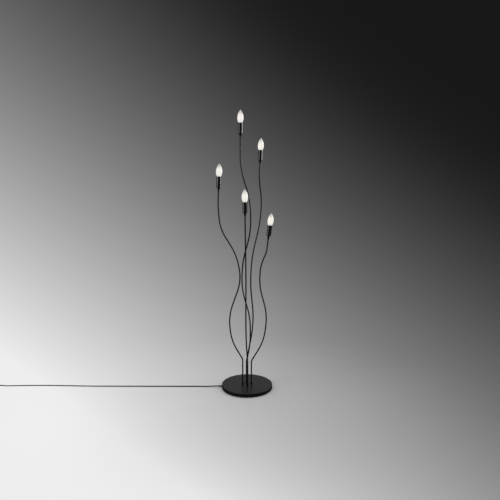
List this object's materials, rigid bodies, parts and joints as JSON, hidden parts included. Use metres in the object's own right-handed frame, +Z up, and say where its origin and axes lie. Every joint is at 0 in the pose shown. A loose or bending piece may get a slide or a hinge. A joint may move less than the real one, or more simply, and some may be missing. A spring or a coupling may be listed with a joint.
{
  "type": "tree floor lamp",
  "caption": "Black floor lamp whose wavy steel tubes rise like branches from a round weighted foot, each topped by a candle sleeve and a lit candle bulb.",
  "frame": {"origin": "middle of the round foot, on the floor", "axes": "+Z up, -Y towards the viewer of the picture, the mains cord leaves the foot towards -X"},
  "size_m": [1.8349, 0.3392, 1.6201],
  "materials": {
    "black_steel": "satin black powder coat, smooth",
    "gloss_black": "high gloss black lacquer",
    "holder_plastic": "matt moulded",
    "nickel_cap": "nickel plated screw cap",
    "bulb_glass": "clear blown glass, lit from inside",
    "filament": "glowing filament rods on a glass stem",
    "cast_weight": "raw casting",
    "plated_steel": "zinc plated",
    "foam_pad": "closed-cell foam",
    "brass": "bright",
    "black_rubber": "satin",
    "cord_sheath": "smooth black sheath",
    "wire_sheath": "thin insulated pair",
    "white_plastic": "moulded",
    "black_plastic": "fine spark-eroded moulding",
    "button_plastic": "polished moulding",
    "nickel_pin": "nickel plated"
  },
  "bodies": {
    "lamp": {"centre_arm": "black_steel", "centre_cup": "black_steel", "centre_sleeve": "gloss_black", "centre_holder": "holder_plastic", "back_arm": "black_steel", "back_cup": "black_steel", "back_sleeve": "gloss_black", "back_holder": "holder_plastic", "left_arm": "black_steel", "left_cup": "black_steel", "left_sleeve": "gloss_black", "left_holder": "holder_plastic", "front_arm": "black_steel", "front_cup": "black_steel", "front_sleeve": "gloss_black", "front_holder": "holder_plastic", "right_arm": "black_steel", "right_cup": "black_steel", "right_sleeve": "gloss_black", "right_holder": "holder_plastic", "base_cover": "black_steel", "base_weight": "cast_weight", "base_plate": "plated_steel", "base_pad": "foam_pad", "plate_screws": "plated_steel", "foot_collars": "black_steel", "foot_washers": "plated_steel", "foot_nuts": "plated_steel", "holder_contacts": "brass", "strain_relief": "black_rubber", "inlet_cord": "cord_sheath", "terminal_block": "white_plastic", "terminal_screws": "brass", "arm_wires": "wire_sheath", "cord_lead": "cord_sheath", "cord_coil": "cord_sheath", "switch_tray": "black_plastic", "switch_cover": "black_plastic", "switch_core": "white_plastic", "plug_body": "black_plastic", "plug_pins": "nickel_pin", "switch_bushes": "black_rubber"},
    "centre_bulb": {"centre_bulb_cap": "nickel_cap", "centre_bulb_glass": "bulb_glass", "centre_bulb_filament": "filament"},
    "back_bulb": {"back_bulb_cap": "nickel_cap", "back_bulb_glass": "bulb_glass", "back_bulb_filament": "filament"},
    "left_bulb": {"left_bulb_cap": "nickel_cap", "left_bulb_glass": "bulb_glass", "left_bulb_filament": "filament"},
    "front_bulb": {"front_bulb_cap": "nickel_cap", "front_bulb_glass": "bulb_glass", "front_bulb_filament": "filament"},
    "right_bulb": {"right_bulb_cap": "nickel_cap", "right_bulb_glass": "bulb_glass", "right_bulb_filament": "filament"},
    "switch_button": {"switch_button": "button_plastic"}
  },
  "joints": [
    {"name": "centre_bulb_unscrew", "type": "hinge", "parent": "lamp", "child": "centre_bulb", "pos_m": [-0.03664, 0.04367, 1.492], "axis": [0.0097, -0.0116, 0.9999], "range_deg": [0, 1800]},
    {"name": "back_bulb_unscrew", "type": "hinge", "parent": "lamp", "child": "back_bulb", "pos_m": [0.07638, 0.16431, 1.338], "axis": [0.0507, 0.0878, 0.9949], "range_deg": [0, 1800]},
    {"name": "left_bulb_unscrew", "type": "hinge", "parent": "lamp", "child": "left_bulb", "pos_m": [-0.15636, -0.05116, 1.199], "axis": [0.0443, 0.0161, 0.9989], "range_deg": [0, 1800]},
    {"name": "front_bulb_unscrew", "type": "hinge", "parent": "lamp", "child": "front_bulb", "pos_m": [-0.00983, -0.11069, 1.065], "axis": [-0.0108, -0.068, 0.9976], "range_deg": [0, 1800]},
    {"name": "right_bulb_unscrew", "type": "hinge", "parent": "lamp", "child": "right_bulb", "pos_m": [0.12535, 0.03987, 0.914], "axis": [0.1248, 0.0454, 0.9911], "range_deg": [0, 1800]},
    {"name": "switch_press", "type": "slide", "parent": "lamp", "child": "switch_button", "axis": [0, 0, -1], "range_m": [0, 0.003], "stiffness_N_per_m": 700, "springref_m": -0.003}
  ]
}
